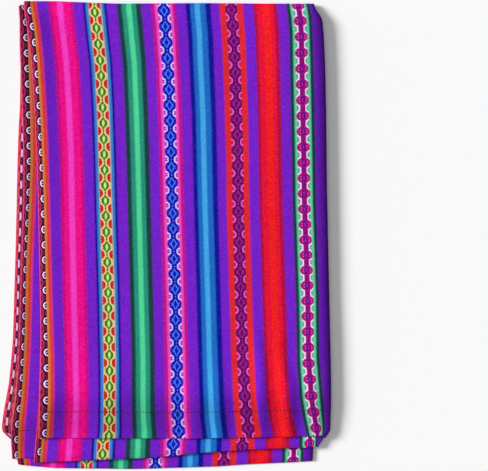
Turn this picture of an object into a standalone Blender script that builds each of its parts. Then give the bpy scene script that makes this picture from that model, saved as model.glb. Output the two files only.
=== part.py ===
"""A folded carrying cloth: one long striped cloth, hemmed at both ends.

It is folded in half lengthwise, then once across, and lies flat in four layers. In the plan, X runs
to the lengthwise fold, Y to the crosswise fold, and Z up from the surface that it lies on. The two
hems lie together at -Y and the selvedges at -X, each layer a little further out than the one above.
"""

import math
from collections import namedtuple

import bpy
import numpy as np

MM = 0.001

# The cloth, and how far apart its layers lie
CLOTH_WIDTH = 1172 * MM
FOLD_ACROSS = CLOTH_WIDTH / 2
MIDDLE_ACROSS = 275 * MM
THICKNESS = 1.6 * MM
LAYER_PITCH = 4.6 * MM
TOP_FOLD_DOWN = 10 * MM

# How finely the cloth is divided
OUTER_STEPS = 21
FOLD_STEPS = 6
INNER_STEPS = 12
FRONT_STEPS = 19
BACK_STEPS = 20

# The edges of the two pairs of layers, in millimetres across the plan, at levels down from the top
# fold. "middle" is the blue pattern stripe, and "inner" the selvedge of the pair's inner layer.
Level = namedtuple("Level", "down selvedge middle fold inner")
FRONT_LEVELS = (
    Level(down=0, selvedge=46, middle=323, fold=629, inner=41),
    Level(down=14, selvedge=47, middle=325, fold=639, inner=49),
    Level(down=44, selvedge=49, middle=327, fold=643, inner=57),
    Level(down=114, selvedge=60, middle=332, fold=646, inner=68),
    Level(down=214, selvedge=68, middle=336, fold=648, inner=76),
    Level(down=394, selvedge=73, middle=340, fold=650, inner=80),
    Level(down=594, selvedge=76, middle=346, fold=653, inner=82),
    Level(down=794, selvedge=74, middle=350, fold=658, inner=72),
    Level(down=854, selvedge=71, middle=353, fold=659, inner=64),
    Level(down=872, selvedge=71, middle=354, fold=658, inner=62),
)
BACK_LEVELS = (
    Level(down=0, selvedge=43, middle=321, fold=629, inner=35),
    Level(down=114, selvedge=35, middle=322, fold=642, inner=36),
    Level(down=314, selvedge=31, middle=320, fold=638, inner=43),
    Level(down=394, selvedge=29, middle=318, fold=636, inner=44),
    Level(down=594, selvedge=24, middle=314, fold=632, inner=37),
    Level(down=694, selvedge=20, middle=312, fold=630, inner=33),
    Level(down=754, selvedge=15, middle=311, fold=628, inner=30),
    Level(down=794, selvedge=8, middle=310, fold=627, inner=26),
    Level(down=854, selvedge=0, middle=309, fold=625, inner=20),
    Level(down=868, selvedge=3, middle=308, fold=624, inner=18),
    Level(down=878, selvedge=19, middle=308, fold=624, inner=18),
    Level(down=898, selvedge=27, middle=307, fold=623, inner=18),
    Level(down=928, selvedge=33, middle=306, fold=621, inner=21),
)

# The two hems, in millimetres down the plan, at distances across the flat cloth
HemPoint = namedtuple("HemPoint", "across down")
FRONT_HEM = (
    HemPoint(across=0, down=871),
    HemPoint(across=300, down=872),
    HemPoint(across=545, down=866),
    HemPoint(across=574, down=863),
    HemPoint(across=586, down=855),
    HemPoint(across=606, down=888),
    HemPoint(across=736, down=894),
    HemPoint(across=850, down=902),
    HemPoint(across=940, down=911),
    HemPoint(across=1172, down=921),
)
BACK_HEM = (
    HemPoint(across=0, down=924),
    HemPoint(across=75, down=929),
    HemPoint(across=240, down=931),
    HemPoint(across=400, down=926),
    HemPoint(across=455, down=922),
    HemPoint(across=586, down=915),
    HemPoint(across=640, down=912),
    HemPoint(across=1172, down=914),
)

# Soft ridges in the top layer, in millimetres: where the crest starts and ends across the plan,
# its height and half width, and the levels down the plan between which it grows to its full height
Ridge = namedtuple("Ridge", "upper lower height half_width starts full")
RIDGES = (
    Ridge(upper=150, lower=146, height=4.0, half_width=34, starts=560, full=840),
    Ridge(upper=262, lower=270, height=3.0, half_width=40, starts=620, full=860),
    Ridge(upper=372, lower=380, height=3.2, half_width=36, starts=640, full=860),
    Ridge(upper=452, lower=470, height=4.2, half_width=26, starts=600, full=850),
    Ridge(upper=525, lower=560, height=5.0, half_width=24, starts=560, full=850),
    Ridge(upper=596, lower=622, height=3.4, half_width=20, starts=560, full=850),
    Ridge(upper=90, lower=150, height=2.6, half_width=60, starts=420, full=40),
    Ridge(upper=430, lower=440, height=2.4, half_width=90, starts=460, full=60),
)
PUFF = 2.6 * MM
PUFF_EDGE = 46 * MM

PURPLE = (0.16, 0.013, 0.50, 1.0)
CLOTH_ROUGHNESS = 0.85

TURN_RADIUS = LAYER_PITCH / 2
HALF_TURN = TURN_RADIUS * math.pi / 2
PILE_MIDDLE = THICKNESS / 2 + 1.5 * LAYER_PITCH


def clear_scene():
    for old in list(bpy.data.objects):
        bpy.data.objects.remove(old, do_unlink=True)


def new_collection(name):
    collection = bpy.data.collections.new(name)
    bpy.context.scene.collection.children.link(collection)
    return collection


def cloth_material():
    material = bpy.data.materials.new("striped_weave")
    material.use_nodes = True
    shader = material.node_tree.nodes["Principled BSDF"]
    shader.inputs["Base Color"].default_value = PURPLE
    shader.inputs["Roughness"].default_value = CLOTH_ROUGHNESS
    shader.inputs["Metallic"].default_value = 0.0
    return material


def smooth_step(value):
    """0 below 0, 1 above 1, and an S-shaped rise between."""
    share = np.clip(value, 0.0, 1.0)
    return share * share * (3.0 - 2.0 * share)


def column(rows, name):
    return np.array([getattr(row, name) for row in rows], float)


def across_steps():
    """Distances across the flat cloth: even over each half, and finer round the lengthwise fold."""
    outer = np.linspace(0.0, FOLD_ACROSS - HALF_TURN, OUTER_STEPS + 1)
    turn = np.linspace(FOLD_ACROSS - HALF_TURN, FOLD_ACROSS + HALF_TURN, FOLD_STEPS + 1)
    inner = np.linspace(FOLD_ACROSS + HALF_TURN, CLOTH_WIDTH, INNER_STEPS + 1)
    return np.concatenate([outer, turn[1:-1], inner])


def along_steps():
    """Rows of the cloth from the front hem to the back hem, each a height and a turn.

    The height is the share of the way up from the hem, with closer rows by the back hem, and the
    turn is the angle round the crosswise fold.
    """
    front = [(share, 0.0) for share in np.linspace(0.0, 1.0, FRONT_STEPS + 1)]
    turn = [(1.0, angle) for angle in np.linspace(0.0, math.pi, FOLD_STEPS + 1)[1:-1]]
    back = [(share**1.5, math.pi) for share in np.linspace(1.0, 0.0, BACK_STEPS + 1)]
    return front + turn + back


def row_across_plan(levels, height, across):
    """A row's place across the plan: straight between the selvedges, middle stripe and fold."""
    down = (1.0 - height) * levels[-1].down
    at_level = {
        name: np.interp(down, column(levels, "down"), column(levels, name)) * MM
        for name in ("selvedge", "middle", "fold", "inner")
    }
    turn = at_level["fold"] - TURN_RADIUS
    lines = (0.0, MIDDLE_ACROSS, FOLD_ACROSS - HALF_TURN, FOLD_ACROSS + HALF_TURN, CLOTH_WIDTH)
    places = (at_level["selvedge"], at_level["middle"], turn, turn, at_level["inner"])
    return np.interp(across, lines, places)


def hem_down(hem, across):
    return np.interp(across, column(hem, "across") * MM, column(hem, "down") * MM)


def lift(right, down, outer_share):
    """Height of the front pair above its flat place: a soft puff, less by the edges, and ridges."""
    edge = np.minimum(right - FRONT_LEVELS[-1].selvedge * MM, FRONT_LEVELS[-1].fold * MM - right)
    height = PUFF * smooth_step(edge / PUFF_EDGE) * smooth_step(down / PUFF_EDGE)
    for ridge in RIDGES:
        grown = smooth_step((down / MM - ridge.starts) / (ridge.full - ridge.starts))
        crest = (ridge.upper + (ridge.lower - ridge.upper) * grown) * MM
        off_crest = (right - crest) / (ridge.half_width * MM)
        height = height + ridge.height * MM * grown * np.exp(-(off_crest**2))
    return height * outer_share


def folded_row(height, turn, across):
    """Points of one row: round the lengthwise fold it turns under, and so does the pair at the top."""
    round_fold = np.clip((across - FOLD_ACROSS) / TURN_RADIUS + math.pi / 2, 0.0, math.pi)
    from_middle = LAYER_PITCH + TURN_RADIUS * np.cos(round_fold)
    behind = turn / math.pi
    front = row_across_plan(FRONT_LEVELS, height, across)
    back = row_across_plan(BACK_LEVELS, height, across)
    right = front * (1.0 - behind) + back * behind + TURN_RADIUS * np.sin(round_fold)
    hem = FRONT_HEM if turn < math.pi else BACK_HEM
    down = TOP_FOLD_DOWN + (hem_down(hem, across) - TOP_FOLD_DOWN) * (1.0 - height)
    down = down - from_middle * math.sin(turn)
    up = PILE_MIDDLE + from_middle * math.cos(turn)
    if turn == 0.0:
        up = up + lift(right, down, 0.5 * (1.0 + np.cos(round_fold)))
    return np.stack([right, -down, up], axis=1)


def folded_points():
    """The middle surface of the whole cloth, centred on its plan."""
    across = across_steps()
    points = np.array([folded_row(height, turn, across) for height, turn in along_steps()])
    low = points.reshape(-1, 3).min(axis=0)
    high = points.reshape(-1, 3).max(axis=0)
    points[..., :2] -= ((low + high + THICKNESS / 2 * np.array([1.0, 1.0, 0.0])) / 2)[:2]
    return points


def make_cloth(collection):
    """A flat grid folded into place, then given its thickness."""
    points = folded_points()
    rows, columns = points.shape[:2]
    bpy.ops.mesh.primitive_grid_add(x_subdivisions=columns - 1, y_subdivisions=rows - 1, size=1)
    cloth = bpy.context.object
    cloth.name = "folded_cloth"
    cloth.data.name = "folded_cloth"
    cloth.data.vertices.foreach_set("co", points.reshape(-1).astype(np.float32))
    cloth.data.materials.append(cloth_material())
    cloth.data.shade_smooth()
    for old in list(cloth.users_collection):
        old.objects.unlink(cloth)
    collection.objects.link(cloth)
    solidify = cloth.modifiers.new("Thickness", "SOLIDIFY")
    solidify.thickness = THICKNESS
    solidify.offset = 0.0
    solidify.use_even_offset = True
    return cloth


clear_scene()
make_cloth(new_collection("carrying_cloth"))
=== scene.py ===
import math
from collections import namedtuple

import bpy
import numpy as np
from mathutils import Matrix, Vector


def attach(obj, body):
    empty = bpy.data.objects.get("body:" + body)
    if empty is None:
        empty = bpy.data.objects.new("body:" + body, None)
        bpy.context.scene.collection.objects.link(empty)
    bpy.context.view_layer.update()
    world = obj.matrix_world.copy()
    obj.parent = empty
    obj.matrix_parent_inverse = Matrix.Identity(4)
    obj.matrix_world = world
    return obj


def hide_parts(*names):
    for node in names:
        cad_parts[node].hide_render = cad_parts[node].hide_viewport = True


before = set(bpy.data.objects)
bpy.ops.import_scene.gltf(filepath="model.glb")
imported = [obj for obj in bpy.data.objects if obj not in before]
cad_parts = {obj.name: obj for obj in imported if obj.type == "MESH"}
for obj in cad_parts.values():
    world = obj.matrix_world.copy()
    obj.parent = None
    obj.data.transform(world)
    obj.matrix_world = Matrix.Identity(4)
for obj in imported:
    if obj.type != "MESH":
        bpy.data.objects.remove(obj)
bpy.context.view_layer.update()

MM = 0.001

# The folded cloth: one length of striped acrylic cloth, woven in one width with both selvedges left on.
# It is folded in half lengthwise and once across, so four layers lie on each other, and each cut end
# is turned under and sewn down as a hem.
CLOTH_WIDTH = 1196 * MM
FOLD_ACROSS = CLOTH_WIDTH / 2
REPEAT = 31.1 * MM
CLOTH_LENGTH = 57.54 * REPEAT
THICKNESS = 1.1 * MM
LAYER_PITCH = 4.6 * MM
TURN_RADIUS = LAYER_PITCH / 2
HALF_TURN = TURN_RADIUS * math.pi / 2
PILE_MIDDLE = THICKNESS / 2 + 1.5 * LAYER_PITCH
HEM_DEPTH = 54 * MM
HEM_RADIUS = 0.85 * MM

# Where named warps lie across the plan, in millimetres, at levels down from the top fold to the hem.
# "across" is each warp's distance from the selvedge of its own half of the cloth.
TOP_LINES = "down selvedge ochre pink yellow leaf blue sky plum red green edge fold"
TopLayer = namedtuple("TopLayer", TOP_LINES)
TOP_ACROSS = TopLayer(None, 0, 18.5, 73, 143, 211, 280, 347, 416, 484, 552, 575, 598)
TOP_LAYER = (
    TopLayer(0, 44, 57, 114, 184, 253, 323, 388, 458, 523, 593, 616, 624),
    TopLayer(24, 46, 62, 116, 187, 256, 326, 390, 460, 525, 597, 620, 640),
    TopLayer(56, 52, 67, 120, 190, 259, 328, 393, 463, 528, 599, 621, 643),
    TopLayer(116, 59, 72, 127, 197, 265, 332, 395, 466, 529, 600, 623, 646),
    TopLayer(216, 65, 78, 133, 202, 269, 336, 400, 469, 532, 602, 625, 648),
    TopLayer(316, 70, 82, 137, 205, 272, 339, 402, 472, 533, 604, 627, 649),
    TopLayer(396, 72, 85, 138, 207, 274, 341, 404, 472, 535, 605, 628, 650),
    TopLayer(596, 76, 90, 142, 213, 279, 347, 410, 478, 541, 612, 634, 653),
    TopLayer(666, 77, 92, 144, 214, 281, 348, 412, 480, 544, 613, 634, 656),
    TopLayer(716, 76, 94, 145, 215, 282, 350, 413, 482, 545, 613, 635, 657),
    TopLayer(796, 74, 94, 147, 215, 282, 351, 416, 486, 549, 619, 642, 658),
    TopLayer(836, 74, 92, 145, 215, 283, 352, 418, 490, 555, 626, 645, 657),
    TopLayer(862, 73, 91, 144, 214, 285, 354, 422, 493, 562, 631, 646, 656),
    TopLayer(872, 72, 90, 143, 213, 285, 354, 423, 494, 565, 633, 643, 646),
)
Layer = namedtuple("Layer", "down selvedge ochre yellow blue plum green fold")
LAYER_ACROSS = Layer(None, 0, 18.5, 143, 280, 416, 552, 598)
SECOND_LAYER = (
    Layer(0, 41, 56, 181, 322, 458, 590, 624),
    Layer(24, 50, 66, 188, 327, 462, 596, 640),
    Layer(396, 80, 92, 208, 341, 474, 604, 650),
    Layer(796, 74, 86, 209, 346, 484, 615, 658),
    Layer(862, 68, 81, 202, 343, 482, 618, 658),
    Layer(874, 67, 80, 202, 343, 482, 618, 646),
    Layer(921, 63, 76, 200, 342, 480, 618, 643),
)
THIRD_LAYER = (
    Layer(0, 32, 45, 180, 322, 458, 590, 624),
    Layer(24, 34, 48.5, 180, 322, 458, 590, 640),
    Layer(76, 34, 51.5, 182, 322, 457, 592, 642),
    Layer(216, 39, 56.5, 184, 322, 457, 592, 641),
    Layer(316, 42, 57, 186, 320, 454, 591, 638),
    Layer(396, 42, 54, 184, 318, 452, 590, 636),
    Layer(516, 38, 48, 180, 316, 450, 589, 634),
    Layer(596, 35, 46.5, 176, 314, 448, 588, 632),
    Layer(666, 33.5, 45, 172, 312, 447, 587, 630),
    Layer(746, 29.5, 41.5, 166, 309, 446, 586, 628),
    Layer(796, 25, 38, 164, 307, 445, 586, 627),
    Layer(846, 18, 33, 162, 304, 444, 585, 625),
    Layer(876, 16.5, 31.5, 161, 302, 443, 584, 624),
    Layer(914, 19, 31, 160, 300, 442, 583, 621),
)
LOWEST_LAYER = (
    Layer(0, 42.5, 56, 183, 323, 459, 591, 624),
    Layer(96, 36, 50, 183, 323, 458, 594, 641),
    Layer(196, 34.6, 48, 182, 322, 457, 594, 641),
    Layer(256, 31.4, 47.5, 181, 321, 456, 593, 640),
    Layer(316, 29.4, 46.5, 180, 320, 455, 593, 638),
    Layer(426, 27.2, 44, 178, 318, 453, 592, 635),
    Layer(516, 25, 40, 176, 316, 451, 591, 634),
    Layer(596, 22.6, 38, 174, 314, 449, 590, 632),
    Layer(676, 20.2, 35, 172, 312, 448, 589, 630),
    Layer(726, 16, 31, 171, 311, 447, 588, 629),
    Layer(766, 12, 27, 170, 310, 446, 587, 628),
    Layer(796, 6.4, 24, 169, 310, 446, 586, 627),
    Layer(828, 0.8, 19, 169, 309, 445, 586, 626),
    Layer(858, -2.6, 16, 168, 309, 445, 586, 625),
    Layer(868, 2, 19, 168, 308, 444, 585, 624),
    Layer(877, 17, 32, 168, 308, 444, 585, 624),
    Layer(898, 25, 39, 168, 307, 444, 585, 623),
    Layer(928, 30.6, 44, 168, 306, 443, 584, 621),
)

# The two hems, in millimetres down the plan, at distances across the whole flat cloth
HemPoint = namedtuple("HemPoint", "across down")
FRONT_HEM = (
    HemPoint(0, 871),
    HemPoint(300, 872),
    HemPoint(552, 867),
    HemPoint(592, 866),
    HemPoint(600, 872),
    HemPoint(606, 884),
    HemPoint(614, 889),
    HemPoint(755, 894),
    HemPoint(869, 902),
    HemPoint(959, 911),
    HemPoint(1196, 921),
)
BACK_HEM = (
    HemPoint(0, 925),
    HemPoint(75, 932),
    HemPoint(240, 934),
    HemPoint(400, 929),
    HemPoint(455, 925),
    HemPoint(598, 918),
    HemPoint(612, 908),
    HemPoint(640, 884),
    HemPoint(755, 887),
    HemPoint(869, 895),
    HemPoint(959, 902),
    HemPoint(1080, 908),
    HemPoint(1196, 914),
)

# The crosswise fold isn't quite straight: how far down the plan its middle is
TOP_FOLD = (
    HemPoint(0, 4.6),
    HemPoint(70, 4.8),
    HemPoint(105, 6.4),
    HemPoint(145, 8.0),
    HemPoint(190, 9.6),
    HemPoint(360, 8.6),
    HemPoint(480, 9.6),
    HemPoint(598, 9.6),
    HemPoint(1196, 7.4),
)

# The top hem's usual level down the plan. Then the pattern's repeats down the top layer: a few of them,
# counted up from the hem, and the level of each. The first one is a repeat past the hem.
HEM_DOWN = 872 * MM
REPEATS_UP = (-0.94, 0.06, 3.5, 6.5, 9.5, 12.5, 15.5, 18.5, 21.5, 24.5, 27.5)
REPEAT_DOWN = (904.5, 872, 760, 666, 574, 484, 392, 300, 207, 113, 18)

# How much lower than those levels the same weft runs by the top fold, at distances across the cloth
WeftPoint = namedtuple("WeftPoint", "across lower")
WEFT_AT_TOP = (
    WeftPoint(0, -5),
    WeftPoint(143, -8),
    WeftPoint(280, 0),
    WeftPoint(416, 1),
    WeftPoint(551, -12),
    WeftPoint(638, -12),
    WeftPoint(1196, 8),
)

# How much lower than the hem's own line the same weft runs at the hems, as they aren't sewn quite true
WEFT_AT_FRONT_HEM = (
    WeftPoint(0, 0),
    WeftPoint(590, 0),
    WeftPoint(606, -9),
    WeftPoint(780, -7),
    WeftPoint(916, 7),
    WeftPoint(1053, 17),
    WeftPoint(1180, 0),
    WeftPoint(1196, 0),
)
WEFT_AT_BACK_HEM = (
    WeftPoint(0, 0),
    WeftPoint(143, 0),
    WeftPoint(280, 0),
    WeftPoint(416, 4),
    WeftPoint(552, 4),
    WeftPoint(1196, 0),
)

# Soft ridges in the top layer, in millimetres: where the crest starts and ends across the plan, its
# height and half width, and the levels down the plan between which it grows to its full height
Ridge = namedtuple("Ridge", "upper lower height half_width starts full")
RIDGES = (
    Ridge(216, 206, 5.0, 38, 690, 850),
    Ridge(300, 300, 3.2, 19, 720, 845),
    Ridge(378, 384, 5.4, 20, 700, 835),
    Ridge(430, 434, 5.4, 17, 700, 830),
    Ridge(478, 490, 4.4, 16, 700, 840),
    Ridge(500, 518, 5.6, 15, 600, 760),
    Ridge(546, 573, 6.6, 15, 640, 800),
    Ridge(596, 624, 4.0, 17, 660, 830),
    Ridge(350, 352, 2.4, 50, 640, 120),
    Ridge(562, 560, 3.0, 44, 640, 120),
)

# The top layer's puff, the share of it that is left at the hem, and how far from each edge it fades
PUFF = 7.5 * MM
PUFF_AT_HEM = 0.12
FOLD_ROLL = 30 * MM
SELVEDGE_FADE = 30 * MM
TOP_FADE = 30 * MM
HEM_FADE = 80 * MM

# The top layer's selvedge border stands up off the others in a soft roll: its height down the plan
RollPoint = namedtuple("RollPoint", "down height")
SELVEDGE_ROLL = (
    RollPoint(0, 2.0),
    RollPoint(30, 8.5),
    RollPoint(110, 6.6),
    RollPoint(400, 3.2),
    RollPoint(600, 1.6),
    RollPoint(740, 2.4),
    RollPoint(820, 7.4),
    RollPoint(872, 6.0),
)
ROLL_CREST = 14 * MM
ROLL_HALF_WIDTH = 28 * MM

# How finely the sheet is divided, and how much closer its rows and columns come by its far edges
BACK_CROWDING = 1.25
INNER_CROWDING = 1.3
OUTER_STEPS = 112
FOLD_STEPS = 8
INNER_STEPS = 46
FRONT_STEPS = 120
BACK_STEPS = 84
TUCK_STEPS = 7
TUCK_FOLD_STEPS = 4

# The share of the way down over which the tables of levels are smoothed, in this many steps
LEVEL_REACH = 0.006
SMOOTHING_STEPS = 9


def smooth_step(value):
    """0 below 0, 1 above 1, and 3t^2 - 2t^3 between."""
    share = np.clip(value, 0.0, 1.0)
    return share * share * (3.0 - 2.0 * share)


def columns(rows, *names):
    """The named columns of a table of millimetres, in metres, one row for each of its rows."""
    return np.array([[getattr(row, name) for name in names] for row in rows], float) * MM


def between(points, knots):
    """Weights that draw a straight line between knots: a row for each point, a column for each knot."""
    return np.stack([np.interp(points, knots, unit) for unit in np.eye(len(knots))], axis=-1)


def softly_between(points, knots, reach):
    """The same, averaged over a reach to either side, which rounds the corners at the knots."""
    steps = np.linspace(-reach, reach, SMOOTHING_STEPS)
    return np.mean([between(np.clip(points + step, 0.0, 1.0), knots) for step in steps], axis=0)


def across_plan(table, lines, height, warps):
    """Place across the plan: weights down the levels, times the table, times weights across the warps.

    Height is the share of the way up from the hem. The last line's place is taken in to where the
    cloth starts to turn.
    """
    down = columns(table, "down")[:, 0]
    places = columns(table, *table[0]._fields[1:])
    places[:, -1] -= TURN_RADIUS
    warp_lines = np.array(lines[1:]) * MM
    warp_lines[-1] -= HALF_TURN
    by_level = softly_between(1.0 - height, down / down[-1], LEVEL_REACH) @ places
    return by_level @ between(warps, warp_lines).T


def along_line(line, across):
    """The second column of a table, read off at distances across the cloth given by its first."""
    points = columns(line, *line[0]._fields)
    return np.interp(across, points[:, 0], points[:, 1])


def lift(across, right, down, hem):
    """Height of the top layer above its flat place: a puff, the selvedge's roll and the ridges.

    The puff falls to the lengthwise fold as a quarter circle does, and fades softly by the other
    edges. A ridge is its height times a bell curve over the distance from its crest.
    """
    off_fold = np.clip((FOLD_ACROSS + HALF_TURN - across) / FOLD_ROLL, 0.0, 1.0)
    by_fold = np.sqrt(1.0 - (1.0 - off_fold) ** 2)
    by_top = smooth_step(down / TOP_FADE)
    by_hem = PUFF_AT_HEM + (1.0 - PUFF_AT_HEM) * smooth_step((hem - down) / HEM_FADE)
    height = PUFF * by_fold * smooth_step(across / SELVEDGE_FADE) * by_top * by_hem
    rolled = along_line(SELVEDGE_ROLL, down)
    height = height + rolled * np.exp(-(((across - ROLL_CREST) / ROLL_HALF_WIDTH) ** 2))
    for ridge in RIDGES:
        grown = smooth_step((down / MM - ridge.starts) / (ridge.full - ridge.starts))
        crest = (ridge.upper + (ridge.lower - ridge.upper) * grown) * MM
        off_crest = (right - crest) / (ridge.half_width * MM)
        height = height + ridge.height * MM * grown * np.exp(-(off_crest**2))
    return height


def cloth_rows(height, turn, tuck, tucked):
    """Rows of the cloth, each a height, a turn, a tuck and a length tucked under, as one table.

    Height is the share of the way up from the hem, turn the angle round the crosswise fold, and tuck
    the angle round the hem's own fold. Any of them may be one number for all the rows.
    """
    return np.stack(np.broadcast_arrays(height, turn, tuck, tucked), axis=1)


def rows_of_cloth():
    """Rows from the front hem's raw edge, up the front, over the fold and down to the back's."""
    tucked = np.linspace(HEM_DEPTH, 0.0, TUCK_STEPS + 1)
    rounding = np.linspace(math.pi, 0.0, TUCK_FOLD_STEPS + 2)[1:-1]
    front = np.linspace(0.0, 1.0, FRONT_STEPS + 1)
    turning = np.linspace(0.0, math.pi, FOLD_STEPS + 1)[1:-1]
    back = np.linspace(1.0, 0.0, BACK_STEPS + 1) ** BACK_CROWDING
    hem = np.concatenate([
        cloth_rows(tucked / HEM_DOWN, 0.0, math.pi, tucked),
        cloth_rows(0.0, 0.0, rounding, 0.0),
    ])
    behind = np.array([0.0, math.pi, 0.0, 0.0])
    return np.concatenate([
        hem,
        cloth_rows(front, 0.0, 0.0, 0.0),
        cloth_rows(1.0, turning, 0.0, 0.0),
        cloth_rows(back, math.pi, 0.0, 0.0),
        hem[::-1] + behind,
    ])


def columns_of_cloth():
    """Distances across the whole cloth: even over each half, and closer round the lengthwise fold."""
    outer = np.linspace(0.0, FOLD_ACROSS - HALF_TURN, OUTER_STEPS + 1)
    turn = np.linspace(FOLD_ACROSS - HALF_TURN, FOLD_ACROSS + HALF_TURN, FOLD_STEPS + 1)
    from_edge = np.linspace(1.0, 0.0, INNER_STEPS + 1) ** INNER_CROWDING
    inner = CLOTH_WIDTH - (CLOTH_WIDTH / 2 - HALF_TURN) * from_edge
    return np.concatenate([outer, turn[1:-1], inner])


def along_cloth(rows, across, level, front_hem, round_fold, from_middle):
    """Each point's place along the flat cloth, from the front hem's edge.

    On the front it is read off the pattern's repeats, with each weft moved by as much as it is askew.
    Round the crosswise fold it grows by the arc's length, and down the back it runs straight to the
    hem. A tucked end runs on past its hem's edge.
    """
    height, turn, tuck, tucked = rows.T
    on_front = (turn == 0.0)[:, None]
    at_front_hem = front_hem - HEM_DOWN + along_line(WEFT_AT_FRONT_HEM, across)
    at_back_hem = CLOTH_LENGTH - along_line(WEFT_AT_BACK_HEM, across)
    at_top = along_line(WEFT_AT_TOP, across)
    askew = at_front_hem * (1.0 - height[:, None]) + at_top * height[:, None]
    repeats = np.interp((level - askew)[::-1], np.array(REPEAT_DOWN[::-1]) * MM, REPEATS_UP[::-1])[::-1]
    over_end = np.minimum(level - askew - REPEAT_DOWN[-1] * MM, 0.0)
    up_front = repeats * REPEAT - over_end
    top_at = up_front[height.argmax()]
    turned = top_at + from_middle * turn[:, None]
    back_start = top_at + (LAYER_PITCH + TURN_RADIUS * np.cos(round_fold)) * math.pi
    up_back = at_back_hem - (at_back_hem - back_start) * height[:, None]
    along = np.where(on_front, up_front, np.where(turn[:, None] < math.pi, turned, up_back))
    under = (tucked + HEM_RADIUS * tuck)[:, None]
    at_edge = up_front[height.argmin()]
    along = np.where((tuck > 0)[:, None] & on_front, at_edge - under, along)
    return np.where((tuck > 0)[:, None] & ~on_front, at_back_hem + under, along)


def folded_cloth(rows, across, proud=0.0):
    """The cloth's middle surface, or one "proud" of its face, and each point's place on the flat cloth.

    Across, it runs out to the lengthwise fold, round a half circle and back. Along, it runs up from
    the hem to the crosswise fold, round it with the layers nested, and down. A hem turns round a small
    half circle, towards the reverse, and runs back up under its own layer.
    """
    height, turn, tuck, _ = rows.T
    round_fold = np.clip((across - FOLD_ACROSS) / TURN_RADIUS + math.pi / 2, 0.0, math.pi)
    inner = across > FOLD_ACROSS
    warps = np.minimum(across, CLOTH_WIDTH - across)
    top = across_plan(TOP_LAYER, TOP_ACROSS, height, warps)
    second = across_plan(SECOND_LAYER, LAYER_ACROSS, height, warps)
    third = across_plan(THIRD_LAYER, LAYER_ACROSS, height, warps)
    lowest = across_plan(LOWEST_LAYER, LAYER_ACROSS, height, warps)
    behind = (turn / math.pi)[:, None]
    front_plan = np.where(inner, second, top)
    back_plan = np.where(inner, third, lowest)
    off_layer = proud * np.cos(tuck) - HEM_RADIUS * (1.0 - np.cos(tuck))
    radius = TURN_RADIUS + off_layer[:, None]
    right = front_plan * (1.0 - behind) + back_plan * behind + radius * np.sin(round_fold)
    from_middle = LAYER_PITCH + radius * np.cos(round_fold)

    front_hem = along_line(FRONT_HEM, across)
    back_hem = along_line(BACK_HEM, across)
    hem = np.where(turn[:, None] < math.pi, front_hem, back_hem)
    top_fold = along_line(TOP_FOLD, across)
    level = top_fold + (hem - top_fold) * (1.0 - height[:, None])
    over_hem = (HEM_RADIUS + proud) * np.sin(tuck)[:, None]
    down = level + over_hem - from_middle * np.sin(turn)[:, None]
    on_front = (turn == 0.0)[:, None]
    lifted = lift(across, right, down, front_hem) * (1.0 + np.cos(round_fold)) / 2 * on_front
    up = PILE_MIDDLE + from_middle * np.cos(turn)[:, None] + lifted

    along = along_cloth(rows, across, level, front_hem, round_fold, from_middle)
    spread = np.broadcast_to(across, along.shape)
    return np.stack([right, -down, up], axis=-1), np.stack([spread, along], axis=-1)


rows = rows_of_cloth()
across = columns_of_cloth()
places, flat_places = folded_cloth(rows, across)
middle = (places.min(axis=(0, 1)) + places.max(axis=(0, 1))) / 2
places -= middle * [1, 1, 0]
row_count, column_count = places.shape[:2]
numbers = np.arange(row_count * column_count).reshape(row_count, column_count)
corners = [numbers[:-1, :-1], numbers[:-1, 1:], numbers[1:, 1:], numbers[1:, :-1]]
quads = np.stack(corners, axis=-1).reshape(-1, 4)
mesh = bpy.data.meshes.new("folded_cloth")
mesh.from_pydata(places.reshape(-1, 3), [], quads.tolist())
mesh.polygons.foreach_set("use_smooth", np.ones(len(quads), bool))
place_on_cloth = mesh.uv_layers.new(name="cloth")
place_on_cloth.data.foreach_set("uv", flat_places.reshape(-1, 2)[quads.ravel()].ravel())
cloth = bpy.data.objects.new("cloth", mesh)
bpy.context.scene.collection.objects.link(cloth)
solid = cloth.modifiers.new("thickness", "SOLIDIFY")
solid.thickness = THICKNESS
solid.offset = 0.0
solid.material_offset = 1
solid.material_offset_rim = 0
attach(cloth, "root")
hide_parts("folded_cloth")


# The colours are woven in as lengthwise stripes of dyed acrylic warps, the same in both halves of the
# cloth, each counted from its own selvedge. Five patterned bands lie between the plain stripes, where
# warps of two or three colours change places to draw a motif that repeats along the cloth.
def rgb(red, green, blue):
    """A colour from its sRGB values out of 255, as linear red, green, blue and alpha."""
    shares = np.array([red, green, blue]) / 255.0
    linear = np.where(shares <= 0.04045, shares / 12.92, ((shares + 0.055) / 1.055) ** 2.4)
    return (*linear.tolist(), 1.0)


PURPLE = rgb(116, 29, 201)
CRIMSON = rgb(204, 2, 126)
HOT_PINK = rgb(238, 4, 138)
PALE_PINK = rgb(243, 62, 194)
NAVY = rgb(12, 14, 148)
EDGE_BLUE = rgb(64, 125, 205)
DARK_GREEN = rgb(22, 60, 66)
TEAL = rgb(35, 145, 120)
LEAF_GREEN = rgb(80, 213, 152)
MID_BLUE = rgb(28, 105, 200)
SKY_BLUE = rgb(66, 168, 230)
FLAME = rgb(222, 36, 48)
DARK_CRIMSON = rgb(172, 6, 68)
RED = rgb(226, 10, 52)
BRIGHT_RED = rgb(238, 26, 30)
PALE_GREEN = rgb(100, 203, 165)
SALMON = rgb(220, 60, 80)
OCHRE = rgb(190, 112, 60)
ORANGE_RED = rgb(204, 52, 36)
ROSE = rgb(225, 50, 120)
CREAM = rgb(228, 206, 134)
BAND_PINK = rgb(236, 78, 196)
BAND_CRIMSON = rgb(192, 14, 138)

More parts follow.
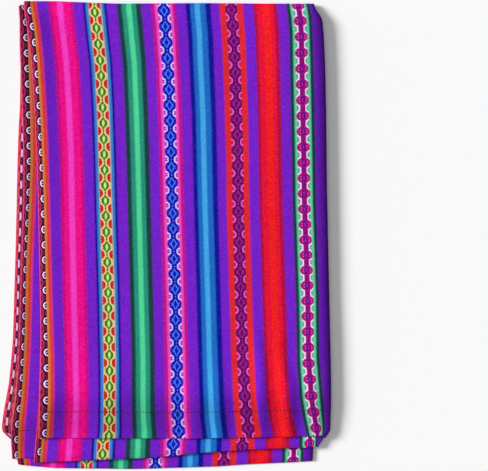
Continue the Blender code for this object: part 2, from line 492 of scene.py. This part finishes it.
# Each stripe, by how far from the selvedge it ends, in millimetres
Stripe = namedtuple("Stripe", "ends colour")
STRIPES = (
    Stripe(15.5, SALMON),
    Stripe(22.4, OCHRE),
    Stripe(27.5, ORANGE_RED),
    Stripe(30, ROSE),
    Stripe(51.4, PURPLE),
    Stripe(57.5, CRIMSON),
    Stripe(68.9, HOT_PINK),
    Stripe(80.8, PALE_PINK),
    Stripe(93.5, HOT_PINK),
    Stripe(99.7, CRIMSON),
    Stripe(119.2, PURPLE),
    Stripe(124.7, NAVY),
    Stripe(131.2, EDGE_BLUE),
    Stripe(155.2, CREAM),
    Stripe(161.1, EDGE_BLUE),
    Stripe(166.7, NAVY),
    Stripe(187.3, PURPLE),
    Stripe(196.5, DARK_GREEN),
    Stripe(205.5, TEAL),
    Stripe(215.9, LEAF_GREEN),
    Stripe(225.3, TEAL),
    Stripe(235.3, DARK_GREEN),
    Stripe(255.3, PURPLE),
    Stripe(262.6, BAND_CRIMSON),
    Stripe(297.3, BAND_PINK),
    Stripe(304.0, BAND_CRIMSON),
    Stripe(324.5, PURPLE),
    Stripe(333.5, NAVY),
    Stripe(343.1, MID_BLUE),
    Stripe(353.6, SKY_BLUE),
    Stripe(363.9, MID_BLUE),
    Stripe(374.3, NAVY),
    Stripe(391.5, PURPLE),
    Stripe(440.5, FLAME),
    Stripe(460.5, PURPLE),
    Stripe(468, DARK_CRIMSON),
    Stripe(480, RED),
    Stripe(493.4, BRIGHT_RED),
    Stripe(501.6, RED),
    Stripe(509.5, DARK_CRIMSON),
    Stripe(528.2, PURPLE),
    Stripe(534.0, DARK_GREEN),
    Stripe(567.1, PALE_GREEN),
    Stripe(574.8, DARK_GREEN),
    Stripe(598, PURPLE),
)

# A colour ramp takes 32 stops at most, so the stripes are shared between two ramps
STRIPES_IN_A_RAMP = 24

# The weave, in millimetres: the cloth's width and the pattern's repeat, and how wide each warp is and
# how far apart the picks of weft are
WIDTH_IN_MM = CLOTH_WIDTH / MM
REPEAT_IN_MM = REPEAT / MM
PICKS_IN_A_REPEAT = 22
WARP = 1.02
PICK = REPEAT_IN_MM / PICKS_IN_A_REPEAT


class Signal:
    """A socket in a material's nodes. Sums and comparisons with it add Math nodes after it."""

    def __init__(self, tree, socket):
        self.tree = tree
        self.socket = socket

    def node(self, kind, settings, inputs, output=0):
        """A new node with these settings and inputs, each input a number, a colour or a Signal."""
        node = self.tree.nodes.new(kind)
        for name, setting in settings.items():
            setattr(node, name, setting)
        for place, given in inputs.items():
            if isinstance(given, Signal):
                self.tree.links.new(given.socket, node.inputs[place])
            else:
                node.inputs[place].default_value = given
        return Signal(self.tree, node.outputs[output])

    def math(self, operation, *others):
        inputs = dict(enumerate((self,) + others))
        return self.node("ShaderNodeMath", {"operation": operation}, inputs)

    def __add__(self, other):
        return self.math("ADD", other)

    def __sub__(self, other):
        return self.math("SUBTRACT", other)

    def __rsub__(self, other):
        return self.math("MULTIPLY_ADD", -1.0, other)

    def __mul__(self, other):
        return self.math("MULTIPLY", other)

    def __truediv__(self, other):
        return self.math("DIVIDE", other)

    def __lt__(self, other):
        return self.math("LESS_THAN", other)

    def __gt__(self, other):
        return self.math("GREATER_THAN", other)

    def __abs__(self):
        return self.math("ABSOLUTE")

    __radd__ = __add__
    __rmul__ = __mul__

    def clamped(self):
        """The signal, but no less than 0 and no more than 1."""
        return self.math("MAXIMUM", 0.0).math("MINIMUM", 1.0)

    def stepped(self, size):
        """The middle of the step of that size that the signal falls in."""
        return (self / size).math("FLOOR") * size + size / 2

    def under(self, mask, colour):
        """This colour, with another over it where the mask is 1."""
        inputs = {0: mask, 6: self, 7: colour}
        return self.node("ShaderNodeMix", {"data_type": "RGBA"}, inputs, output=2)

    def ramp(self, stripes, start, end):
        """A constant colour ramp over the stripes, for a signal that runs from start to end."""
        share = (self - start) / (end - start)
        ramp = share.node("ShaderNodeValToRGB", {}, {0: share})
        elements = ramp.socket.node.color_ramp.elements
        ramp.socket.node.color_ramp.interpolation = "CONSTANT"
        elements[0].color = stripes[0].colour
        elements.remove(elements[1])
        for before, stripe in zip(stripes, stripes[1:]):
            elements.new((before.ends - start) / (end - start)).color = stripe.colour
        return ramp


# Marks that a band's motif is made of, in millimetres. A place on a band is given by signals: how far it
# is from the band's middle, to one side and to either, from the nearest motif's middle along the band,
# and from the nearest neck between two motifs.
Place = namedtuple("Place", "side reach motif neck")


class Oval(namedtuple("Oval", "near across along half_across half_along colour")):
    """An oval on each side: 1 where its two squared shares off its own middle add up to under 1."""

    def mask(self, place):
        off_across = (place.reach - self.across) / self.half_across
        off_along = (getattr(place, self.near) - self.along) / self.half_along
        return (off_across * off_across + off_along * off_along) < 1.0


class OneOval(Oval):
    """An oval on one side only, with its distance across below 0 on the selvedge's side."""

    def mask(self, place):
        return Oval.mask(self, place._replace(reach=place.side))


class Diamond(namedtuple("Diamond", "half_across half_along colour")):
    """A diamond on each motif: 1 where its two shares off the middle add up to under 1."""

    def mask(self, place):
        return (place.reach / self.half_across + place.motif / self.half_along) < 1.0


class Strip(namedtuple("Strip", "half_width colour")):
    """A plain strip along the middle of the band: 1 within its half width."""

    def mask(self, place):
        return place.reach < self.half_width


class WavyStrip(namedtuple("WavyStrip", "across half_width colour")):
    """A strip about a wavy line: 1 where the place, moved by a cosine along the band, is near it."""

    def mask(self, place):
        swing = (place.motif * (2.0 * math.pi / REPEAT_IN_MM)).math("COSINE") * WAVE_HEIGHT
        return abs(place.reach + swing - (WAVE_LINE + self.across)) < self.half_width


def oval_chain(chain, ring, ground, dot, lozenge):
    """A chain of ovals with a diamond in each, and half rings at both edges by each neck."""
    return (
        Oval("motif", 0.0, 0.0, 12.9, 12.2, chain),
        Strip(6.0, chain),
        Oval("neck", 12.4, 0.0, 7.0, 7.8, ring),
        Oval("neck", 13.0, 0.0, 4.4, 4.6, ground),
        Oval("neck", 10.4, 2.2, 2.2, 1.4, dot),
        Strip(3.8, chain),
        Diamond(7.0, 11.8, lozenge),
        Diamond(4.4, 8.6, chain),
        Oval("motif", 7.0, 2.0, 1.6, 0.9, lozenge),
        Oval("neck", 0.0, 0.0, 1.1, 2.0, lozenge),
    )


# Border at the selvedge: pale rings open towards the ochre, dark lenses between them, and small ovals at
# the very edge. On the reverse the rings show as pale dashes.
BORDER_WIDTH = 17.4
BORDER_PHASE = 0.34
WAVE_LINE = 11.6
WAVE_HEIGHT = 3.4
BORDER_ON_FACE = (
    WavyStrip(-10.0, 10.0, rgb(152, 38, 78)),
    Oval("neck", 4.4, 0.0, 2.0, 5.6, rgb(116, 8, 46)),
    Oval("motif", 3.6, 0.0, 1.2, 4.6, rgb(128, 12, 52)),
    Strip(1.6, rgb(204, 66, 112)),
    WavyStrip(0.0, 3.5, rgb(52, 0, 40)),
    Oval("neck", 15.0, 0.0, 5.4, 7.8, rgb(46, 2, 26)),
    Oval("neck", 13.4, 0.0, 1.5, 3.4, rgb(120, 16, 66)),
    Oval("motif", 14.2, 0.0, 5.7, 6.8, rgb(228, 213, 247)),
    Oval("motif", 16.0, 0.0, 4.9, 4.9, rgb(52, 12, 62)),
    Oval("motif", 14.4, 0.0, 2.2, 0.9, rgb(205, 185, 232)),
)
BORDER_ON_REVERSE = (
    WavyStrip(-6.5, 13.5, rgb(200, 66, 98)),
    Strip(2.4, rgb(200, 50, 66)),
    Oval("motif", 4.6, 0.0, 1.4, 5.4, rgb(130, 20, 64)),
    WavyStrip(3.0, 1.4, rgb(112, 20, 66)),
    Oval("neck", 9.6, 0.0, 3.8, 7.6, rgb(74, 6, 42)),
    Oval("neck", 9.2, 0.0, 1.2, 3.0, rgb(160, 40, 84)),
    Oval("motif", 9.2, 0.0, 2.5, 7.8, rgb(228, 194, 240)),
)

# Yellow band: a chain of green diamonds in cream outlines, with red half discs at both edges
YELLOW_MARKS = (
    Oval("neck", 11.8, 0.0, 7.6, 8.8, rgb(206, 26, 30)),
    Oval("neck", 11.8, 0.0, 2.4, 5.4, rgb(168, 16, 34)),
    Oval("neck", 10.6, 3.0, 1.1, 1.0, rgb(240, 130, 120)),
    Oval("motif", 0.0, 0.0, 8.0, 8.8, rgb(76, 120, 34)),
    Diamond(7.4, 14.2, rgb(70, 128, 34)),
    Oval("motif", 6.8, 2.4, 1.4, 1.6, rgb(40, 62, 22)),
    Oval("motif", 0.0, 0.0, 2.4, 6.4, rgb(200, 236, 130)),
    Oval("neck", 0.0, 0.0, 1.3, 3.0, rgb(96, 60, 22)),
)

# Blue and plum bands: the same chain of ovals in two sets of colours
BLUE_MARKS = oval_chain(
    chain=rgb(10, 15, 176),
    ring=rgb(216, 198, 250),
    ground=BAND_PINK,
    dot=NAVY,
    lozenge=rgb(74, 130, 246),
)
PLUM_MARKS = oval_chain(
    chain=rgb(98, 5, 92),
    ring=rgb(238, 92, 205),
    ground=FLAME,
    dot=DARK_CRIMSON,
    lozenge=rgb(175, 25, 160),
)

# Green band: magenta beads on a thin neck, with pale crescents beside each neck
GREEN_MARKS = (
    Oval("neck", 10.6, 0.0, 7.0, 9.2, rgb(250, 214, 252)),
    Oval("neck", 13.0, 0.0, 5.2, 7.2, PALE_GREEN),
    Oval("neck", 9.2, 2.2, 1.4, 1.1, DARK_GREEN),
    Strip(4.9, rgb(140, 4, 120)),
    Oval("motif", 0.0, 0.0, 12.9, 10.4, rgb(178, 8, 116)),
    Oval("motif", 0.0, 0.0, 5.6, 8.4, rgb(108, 5, 138)),
    Oval("motif", 0.0, 0.0, 1.5, 5.0, rgb(186, 20, 150)),
    OneOval("motif", 7.4, 2.4, 1.4, 1.2, rgb(240, 110, 205)),
    OneOval("motif", -5.8, 2.4, 1.4, 1.2, rgb(240, 110, 205)),
)

# The bands, by the distance of their middle from the selvedge, in millimetres, and the share of a repeat
# by which their motifs lie along from the hem. The border's middle is the selvedge itself.
Band = namedtuple("Band", "middle half_width phase marks")
INNER_BANDS = (
    Band(143.2, 12.0, 0.165, YELLOW_MARKS),
    Band(280.1, 12.8, 0.50, BLUE_MARKS),
    Band(416.4, 12.2, 0.595, PLUM_MARKS),
    Band(551.6, 12.8, 0.50, GREEN_MARKS),
)

# Painted shade: the colour is darkened in a soft strip above each hem and close along both folds, where
# the cloth bends away from the light. In millimetres, how far the strip's middle is above the hem and how
# far each painted shade reaches, and the share of light it takes
PAINTED_SHADE_ABOVE_HEM = 44.0
PAINTED_SHADE_BY_HEM_REACH = 52.0
PAINTED_SHADE_BY_HEM_FADE = 30.0
PAINTED_SHADE_BY_HEM = 0.18
PAINTED_SHADE_BY_TOP_REACH = 40.0
PAINTED_SHADE_BY_TOP = 0.3
PAINTED_SHADE_BY_FOLD_REACH = 30.0
PAINTED_SHADE_BY_FOLD = 0.7

# The yarn's own light and dark, from one warp to the next and along each: how far apart neighbouring
# warps are in the noise, how long its grains are in millimetres, its detail, and its share of the light
Grain = namedtuple("Grain", "warps apart length detail share")
GRAINS = (
    Grain(1, 7.31, 26.0, 1.0, 0.26),
    Grain(1, 3.7, 2.6, 0.0, 0.36),
)
FLECKS = Grain(2, 5.3, 2.4, 0.0, 0.44)
CLOUD_ACROSS = 90.0
CLOUD_ALONG = 150.0
CLOUD_SHARE = 0.16
LEAST_LIGHT = 0.39
# Painted sheen: pale flecks mixed into the colour where the fleck noise is high, for light caught by the
# yarn's fluff
FLUFF_SHEEN = rgb(225, 225, 235)
FLUFF_SHEEN_STARTS = 0.42
FLUFF_SHEEN_SHARE = 0.06

# The finish: matt yarn, with each warp standing up as a rounded row of floats
YARN_ROUGHNESS = 0.86
YARN_SHINE = 0.02
FLOAT_RISE = 0.55
RELIEF_DEPTH = 0.4 * MM
RELIEF_STRENGTH = 0.35


def with_band(colour, band, warp, repeats):
    """The colour, with the band's marks over it one after another where the warp is in the band."""
    motif = abs((repeats - band.phase + 0.5).math("FRACT") - 0.5) * REPEAT_IN_MM
    side = warp - band.middle
    place = Place(side, abs(side), motif, REPEAT_IN_MM / 2 - motif)
    painted = colour
    for mark in band.marks:
        painted = painted.under(mark.mask(place), mark.colour)
    return colour.under(place.reach < band.half_width, painted)


def painted_shade_of_cloth(across, along):
    """Light left by the painted shade: 1 less each shade's share, faded straight over its reach."""
    half_length = CLOTH_LENGTH / MM / 2
    off_top_fold = abs(along - half_length)
    off_strip = abs(off_top_fold - (half_length - PAINTED_SHADE_ABOVE_HEM))
    by_hem = ((PAINTED_SHADE_BY_HEM_REACH - off_strip) / PAINTED_SHADE_BY_HEM_FADE).clamped()
    by_top = 1.0 - (off_top_fold / PAINTED_SHADE_BY_TOP_REACH).clamped()
    by_fold = 1.0 - (abs(across - WIDTH_IN_MM / 2) / PAINTED_SHADE_BY_FOLD_REACH).clamped()
    above_hem = by_hem * (1.0 - by_fold)
    return (1.0 - above_hem * PAINTED_SHADE_BY_HEM) * (1.0 - by_top * PAINTED_SHADE_BY_TOP) * (1.0 - by_fold * PAINTED_SHADE_BY_FOLD)


def noise(across, along, detail):
    """Smooth noise from 0 to 1 about one half, with grains about 1 in size, at a place of two signals."""
    place = across.node("ShaderNodeCombineXYZ", {}, {0: across, 1: along})
    return across.node("ShaderNodeTexNoise", {}, {"Vector": place, "Scale": 1.0, "Detail": detail})


def grain_noise(grain, across, along):
    """Noise that is one stretch of grains along each warp, or each few warps, unlike its neighbours'."""
    warp_number = (across / (grain.warps * WARP)).math("FLOOR")
    return noise(warp_number * grain.apart, along / grain.length, grain.detail)


def woven_face(name, phase, border_marks):
    """A material for one face of the cloth: its stripes and bands, then its painted shade, yarn and
    weave.

    The stripes' edges are stepped warp by warp, and each warp's floats reach a warp to either side
    by turns, which gives an edge fine teeth.
    """
    material = bpy.data.materials.new(name)
    material.use_nodes = True
    tree = material.node_tree
    tree.nodes.clear()
    uv = Signal(tree, tree.nodes.new("ShaderNodeUVMap").outputs[0])
    uv.socket.node.uv_map = "cloth"
    parts = uv.node("ShaderNodeSeparateXYZ", {}, {0: uv})
    across = parts / MM
    along = Signal(tree, parts.socket.node.outputs[1]) / MM
    warp = across.math("MINIMUM", WIDTH_IN_MM - across).stepped(WARP)
    by_turns = (across / WARP).math("FLOOR").math("MODULO", 2.0)
    floats = along / (2 * PICK) + by_turns * 0.5

    stripe_at = warp + (floats.math("FRACT") > 0.5) * 2.0 - 1.0
    outer_stripes = STRIPES[:STRIPES_IN_A_RAMP]
    inner_stripes = STRIPES[STRIPES_IN_A_RAMP:]
    between_ramps = outer_stripes[-1].ends
    outer_colour = stripe_at.ramp(outer_stripes, 0.0, between_ramps)
    inner_colour = stripe_at.ramp(inner_stripes, between_ramps, inner_stripes[-1].ends)
    colour = outer_colour.under(stripe_at > between_ramps, inner_colour)
    repeats = along.stepped(PICK) / REPEAT_IN_MM - phase
    border = Band(0.0, BORDER_WIDTH, BORDER_PHASE, border_marks)
    for band in (border, *INNER_BANDS):
        colour = with_band(colour, band, warp, repeats)

    fleck = grain_noise(FLECKS, across, along)
    light = noise(across / CLOUD_ACROSS, along / CLOUD_ALONG, 2.0) * CLOUD_SHARE + LEAST_LIGHT
    light = light + fleck * FLECKS.share
    for grain in GRAINS:
        light = light + grain_noise(grain, across, along) * grain.share
    # Painted sheen: pale flecks where the yarn's fluff catches the light
    fluff_sheen = ((fleck - FLUFF_SHEEN_STARTS) * FLUFF_SHEEN_SHARE).clamped()
    colour = colour.under(fluff_sheen, FLUFF_SHEEN)
    # The yarn's light and dark, times the painted shade above the hems and along the folds
    lit = light * painted_shade_of_cloth(across, along)
    shaded = colour.node("ShaderNodeVectorMath", {"operation": "SCALE"}, {0: colour, 3: lit})

    row = abs((across * (math.pi / WARP)).math("SINE"))
    rise = abs((floats * math.pi).math("SINE"))
    relief = row * (rise * FLOAT_RISE + (1.0 - FLOAT_RISE))
    shape = {"Height": relief, "Strength": RELIEF_STRENGTH, "Distance": RELIEF_DEPTH}
    finish = {
        "Base Color": shaded,
        "Roughness": YARN_ROUGHNESS,
        "Specular IOR Level": YARN_SHINE,
        "Normal": uv.node("ShaderNodeBump", {}, shape),
    }
    surface = uv.node("ShaderNodeBsdfPrincipled", {}, finish)
    tree.links.new(surface.socket, tree.nodes.new("ShaderNodeOutputMaterial").inputs[0])
    return material


cloth.data.materials.append(woven_face("cloth_face", 0.0, BORDER_ON_FACE))
cloth.data.materials.append(woven_face("cloth_reverse", 0.5, BORDER_ON_REVERSE))


# Each hem is held by a row of small running stitches in dark sewing thread, about five centimetres
# above the edge, where the raw end lies under the cloth. Each stitch that shows is a flat bar of thread
# with narrower ends, along the weft.
STITCH_PITCH = 6.6 * MM
STITCH_LENGTH = 4.4 * MM
STITCH_HALF_WIDTH = 0.8 * MM
STITCH_FLATNESS = 0.5
STITCH_PROUD = 0.1 * MM
STITCH_ABOVE_HEM = 52 * MM
STITCH_RINGS = np.array([-0.5, -0.3, 0.3, 0.5]) * STITCH_LENGTH
STITCH_RING_SIZES = np.array([0.35, 1.0, 1.0, 0.35]) * STITCH_HALF_WIDTH
STITCH_SIDES = 6
THREAD = rgb(34, 2, 44)
THREAD_ROUGHNESS = 0.8

# The first and last of these rows of the cloth are sewn, and the two between are at the crosswise fold
centres = np.arange(STITCH_PITCH, CLOTH_WIDTH - STITCH_PITCH / 2, STITCH_PITCH)
ring_places = centres[:, None] + STITCH_RINGS
sewn_height = STITCH_ABOVE_HEM / HEM_DOWN
sewn_rows = cloth_rows([sewn_height, 1.0, 1.0, sewn_height], [0.0, 0.0, math.pi, math.pi], 0.0, 0.0)
on_face = folded_cloth(sewn_rows, ring_places.ravel(), THICKNESS / 2 + STITCH_PROUD)[0]
lines = np.concatenate([on_face[0], on_face[-1]]) - middle * [1, 1, 0]
lines = lines.reshape(-1, len(STITCH_RINGS), 3)
turns = np.arange(STITCH_SIDES) * 2 * math.pi / STITCH_SIDES
around = np.stack([0 * turns, np.cos(turns), STITCH_FLATNESS * np.sin(turns)], axis=-1)
points = lines[:, :, None, :] + STITCH_RING_SIZES[:, None, None] * around
per_stitch = len(STITCH_RINGS) * STITCH_SIDES
numbers = np.arange(per_stitch).reshape(-1, STITCH_SIDES)
onward = np.roll(numbers, -1, axis=1)
sides = np.stack([numbers[:-1], onward[:-1], onward[1:], numbers[1:]], axis=-1).reshape(-1, 4)
starts = np.arange(len(lines))[:, None, None] * per_stitch
quads = (sides + starts).reshape(-1, 4).tolist()
caps = np.concatenate([numbers[:1, ::-1], numbers[-1:]])
quads += (caps + starts).reshape(-1, STITCH_SIDES).tolist()
mesh = bpy.data.meshes.new("hem_stitches")
mesh.from_pydata(points.reshape(-1, 3), [], quads)
mesh.polygons.foreach_set("use_smooth", np.ones(len(quads), bool))
stitches = bpy.data.objects.new("hem_stitches", mesh)
bpy.context.scene.collection.objects.link(stitches)
thread = bpy.data.materials.new("hem_thread")
thread.use_nodes = True
bsdf = thread.node_tree.nodes["Principled BSDF"]
bsdf.inputs["Base Color"].default_value = THREAD
bsdf.inputs["Roughness"].default_value = THREAD_ROUGHNESS
stitches.data.materials.append(thread)
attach(stitches, "root")


# The floor is one wide, plain sheet of matt white paper, which the folded cloth lies on. It lies a
# little under the cloth, so that the two never cut into each other.
FLOOR_HALF_SIDE = 6.0
FLOOR_LEVEL = -1 * MM
PAPER = rgb(250, 250, 250)
PAPER_ROUGHNESS = 0.9
FLOOR_CORNERS = ((-1, -1), (1, -1), (1, 1), (-1, 1))

floor_mesh = bpy.data.meshes.new("floor")
floor_corners = [(x * FLOOR_HALF_SIDE, y * FLOOR_HALF_SIDE, FLOOR_LEVEL) for x, y in FLOOR_CORNERS]
floor_mesh.from_pydata(floor_corners, [], [(0, 1, 2, 3)])
floor = bpy.data.objects.new("floor", floor_mesh)
bpy.context.scene.collection.objects.link(floor)
paper = bpy.data.materials.new("floor_paper")
paper.use_nodes = True
bsdf = paper.node_tree.nodes["Principled BSDF"]
bsdf.inputs["Base Color"].default_value = PAPER
bsdf.inputs["Roughness"].default_value = PAPER_ROUGHNESS
floor.data.materials.append(paper)


# The light is soft and low, from the left and a little from the back, so it shows the ripples. A weak
# light from above and a pale surround fill in the shade. Strengths are in watts for each square metre,
# and softness is how wide the light looks from the cloth, in degrees.
Lamp = namedtuple("Lamp", "name strength softness place")
LAMPS = (
    Lamp("key_light", 3.95, 22, (-2.6, 0.7, 1.5)),
    Lamp("top_light", 0.5, 60, (0.0, 0.0, 3.0)),
)
SURROUND = (1.0, 1.0, 1.0, 1.0)
SURROUND_STRENGTH = 0.22

for lamp in LAMPS:
    light = bpy.data.lights.new(lamp.name, "SUN")
    light.energy = lamp.strength
    light.angle = math.radians(lamp.softness)
    holder = bpy.data.objects.new(lamp.name, light)
    holder.location = lamp.place
    holder.rotation_euler = (-Vector(lamp.place)).to_track_quat("-Z", "Y").to_euler()
    bpy.context.scene.collection.objects.link(holder)
world = bpy.data.worlds.new("surround")
world.use_nodes = True
world.node_tree.nodes["Background"].inputs["Color"].default_value = SURROUND
world.node_tree.nodes["Background"].inputs["Strength"].default_value = SURROUND_STRENGTH
bpy.context.scene.world = world
bpy.context.scene.view_settings.view_transform = "Standard"

# The camera looks straight down with a long lens, level with the photograph's middle. That is given in
# the plan of the flat tables above, and the width that is seen is taken at the level of the pile's top.
SEEN_WIDTH = 976 * MM
SEEN_MIDDLE = (484 * MM, -467 * MM)
PILE_TOP = 18 * MM
LENS = 180.0
SENSOR = 36.0

camera_data = bpy.data.cameras.new("camera")
camera_data.lens = LENS
camera_data.sensor_width = SENSOR
camera = bpy.data.objects.new("camera", camera_data)
camera_height = PILE_TOP + SEEN_WIDTH * LENS / SENSOR
camera.location = (SEEN_MIDDLE[0] - middle[0], SEEN_MIDDLE[1] - middle[1], camera_height)
bpy.context.scene.collection.objects.link(camera)
bpy.context.scene.camera = camera
